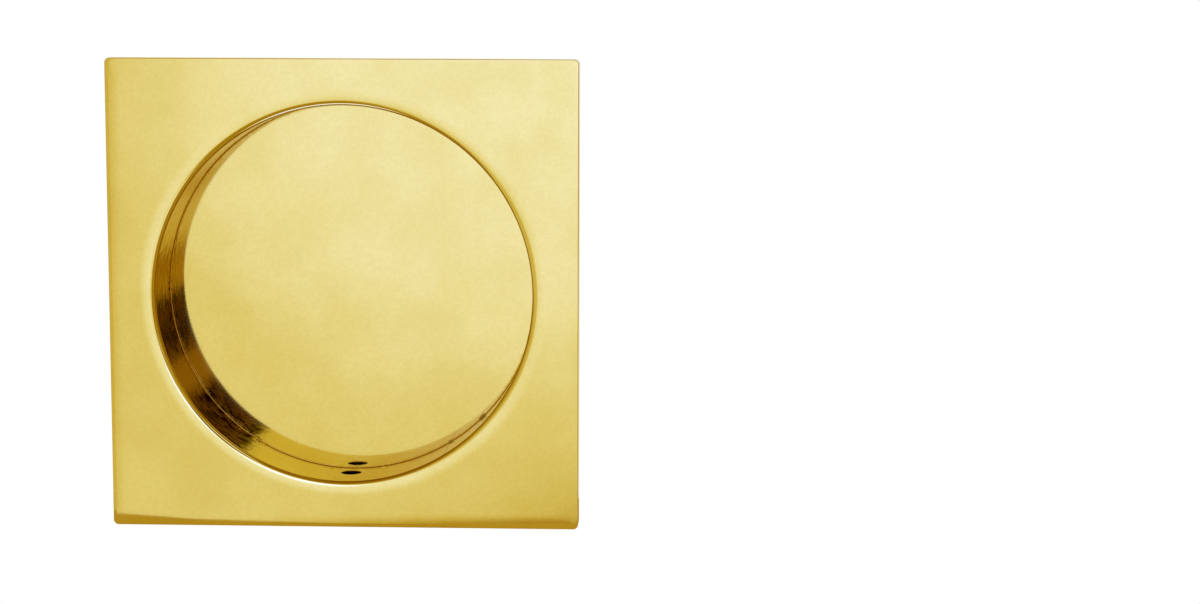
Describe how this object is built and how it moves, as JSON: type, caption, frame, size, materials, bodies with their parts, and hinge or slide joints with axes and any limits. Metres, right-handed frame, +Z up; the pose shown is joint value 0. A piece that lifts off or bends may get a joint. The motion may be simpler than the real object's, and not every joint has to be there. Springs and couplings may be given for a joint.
{
  "type": "pocket door pull",
  "caption": "Square polished-brass flush pull with a round, flat-floored finger recess, a cup that sits in a bored door and side fixing holes.",
  "frame": {"origin": "on the axis of the round recess, in the plane of the door's surface, where the back of the plate rests", "axes": "+Y into the door along the recess axis, +Z up the door, +X to the right seen from the front; the front face looks along -Y"},
  "size_m": [0.0636, 0.0115, 0.0636],
  "materials": {
    "polished_brass": "polished and lacquered"
  },
  "bodies": {
    "root": {"pull_body": "polished_brass"}
  },
  "joints": []
}
